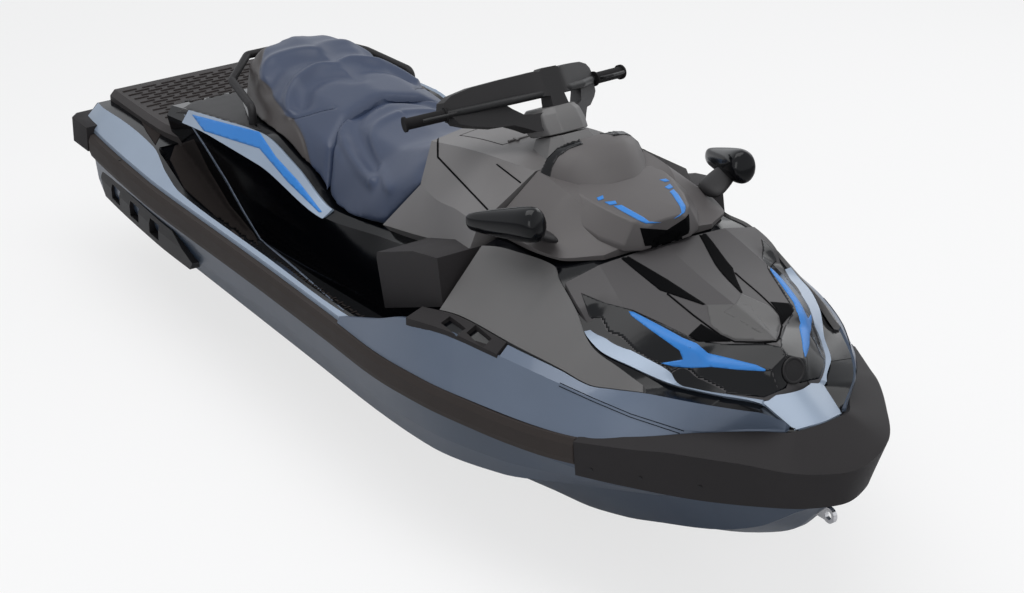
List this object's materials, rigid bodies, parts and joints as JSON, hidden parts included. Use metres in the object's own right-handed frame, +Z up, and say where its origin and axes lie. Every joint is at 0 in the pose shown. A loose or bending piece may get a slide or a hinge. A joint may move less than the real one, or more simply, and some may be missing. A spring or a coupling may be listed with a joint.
{
  "type": "personal watercraft",
  "caption": "Sit-down personal watercraft with sculpted seats, raked handlebar, lidded bow store, jet pump with reverse gate and folding boarding step.",
  "frame": {"origin": "amidships on the centreline at the waterline", "axes": "+X forward to the bow, +Y to port, +Z up"},
  "size_m": [3.4499, 1.255, 1.1667],
  "materials": {
    "hull_blue": "metallic gel coat",
    "deck_black": "gloss moulding",
    "bumper_plastic": "grained moulding",
    "rail_rubber": "matt rubber",
    "panel_slate": "slate gloss",
    "shroud_grey": "satin grey",
    "trim_light": "light blue-grey gloss",
    "hood_charcoal": "charcoal satin",
    "seat_vinyl": "sculpted marine vinyl",
    "engine": "rough block",
    "pump_metal": "cast and painted",
    "impeller_steel": "polished",
    "metal_dark": "black powder coat"
  },
  "bodies": {
    "craft": {"bow_bumper": "bumper_plastic", "bow_panel": "trim_light", "cargo_sockets": "metal_dark", "column_shroud": "bumper_plastic", "console": "shroud_grey", "deck": "deck_black", "deck_front": "deck_black", "engine_block": "engine", "fender_mounts": "bumper_plastic", "grab_handle": "bumper_plastic", "gunwale_strips": "trim_light", "haunch_panels": "panel_slate", "hood": "hood_charcoal", "hull": "hull_blue", "intake_grate": "pump_metal", "knee_pods": "deck_black", "line_eyes": "impeller_steel", "passenger_seat": "seat_vinyl", "pump_housing": "pump_metal", "rear_cover": "deck_black", "ribbons": "trim_light", "ride_plate": "pump_metal", "rider_seat": "seat_vinyl", "rub_rails": "rail_rubber", "shrouds": "shroud_grey", "side_panels": "panel_slate", "sponsons": "bumper_plastic", "step_brackets": "metal_dark", "stern_bumpers": "bumper_plastic", "storage_bin": "deck_black", "venturi": "pump_metal"},
    "steering": {"steering_head": "bumper_plastic", "bar_pad": "bumper_plastic", "handlebar": "metal_dark", "control_pods": "bumper_plastic", "hand_levers": "metal_dark", "grips": "rail_rubber"},
    "bow_lid": {"storage_lid": "hood_charcoal", "gauge_visor": "bumper_plastic", "mirrors": "bumper_plastic"},
    "glovebox": {"glovebox_lid": "shroud_grey"},
    "jet_rotor": {"impeller": "impeller_steel"},
    "nozzle": {"steering_nozzle": "pump_metal"},
    "gate": {"reverse_gate": "deck_black"},
    "step": {"boarding_step": "metal_dark"}
  },
  "joints": [
    {"name": "steer", "type": "hinge", "parent": "craft", "child": "steering", "pos_m": [0.47, 0, 0.74], "axis": [-0.3746, 0, 0.9272], "range_deg": [-22, 22]},
    {"name": "nozzle_steer", "type": "hinge", "parent": "craft", "child": "nozzle", "pos_m": [-1.345, 0, -0.135], "axis": [0, 0, 1], "range_deg": [-22, 22]},
    {"name": "reverse_gate_swing", "type": "hinge", "parent": "craft", "child": "gate", "pos_m": [-1.262, 0, -0.135], "axis": [0, -1, 0], "range_deg": [0, 54]},
    {"name": "impeller_spin", "type": "hinge", "parent": "craft", "child": "jet_rotor", "pos_m": [-1, 0, -0.135], "axis": [1, 0, 0], "continuous": true},
    {"name": "storage_lid_hinge", "type": "hinge", "parent": "craft", "child": "bow_lid", "pos_m": [0.915, 0, 0.582], "axis": [0, 1, 0], "range_deg": [0, 65]},
    {"name": "glovebox_hinge", "type": "hinge", "parent": "craft", "child": "glovebox", "pos_m": [0.311, 0, 0.69633], "axis": [0, 1, 0], "range_deg": [0, 45]},
    {"name": "boarding_step_fold", "type": "hinge", "parent": "craft", "child": "step", "pos_m": [-1.622, 0.3, -0.02], "axis": [0, -1, 0], "range_deg": [0, 170]}
  ],
  "couplings": [
    {"joint": "nozzle_steer", "follows": "steer", "ratio": -1}
  ]
}
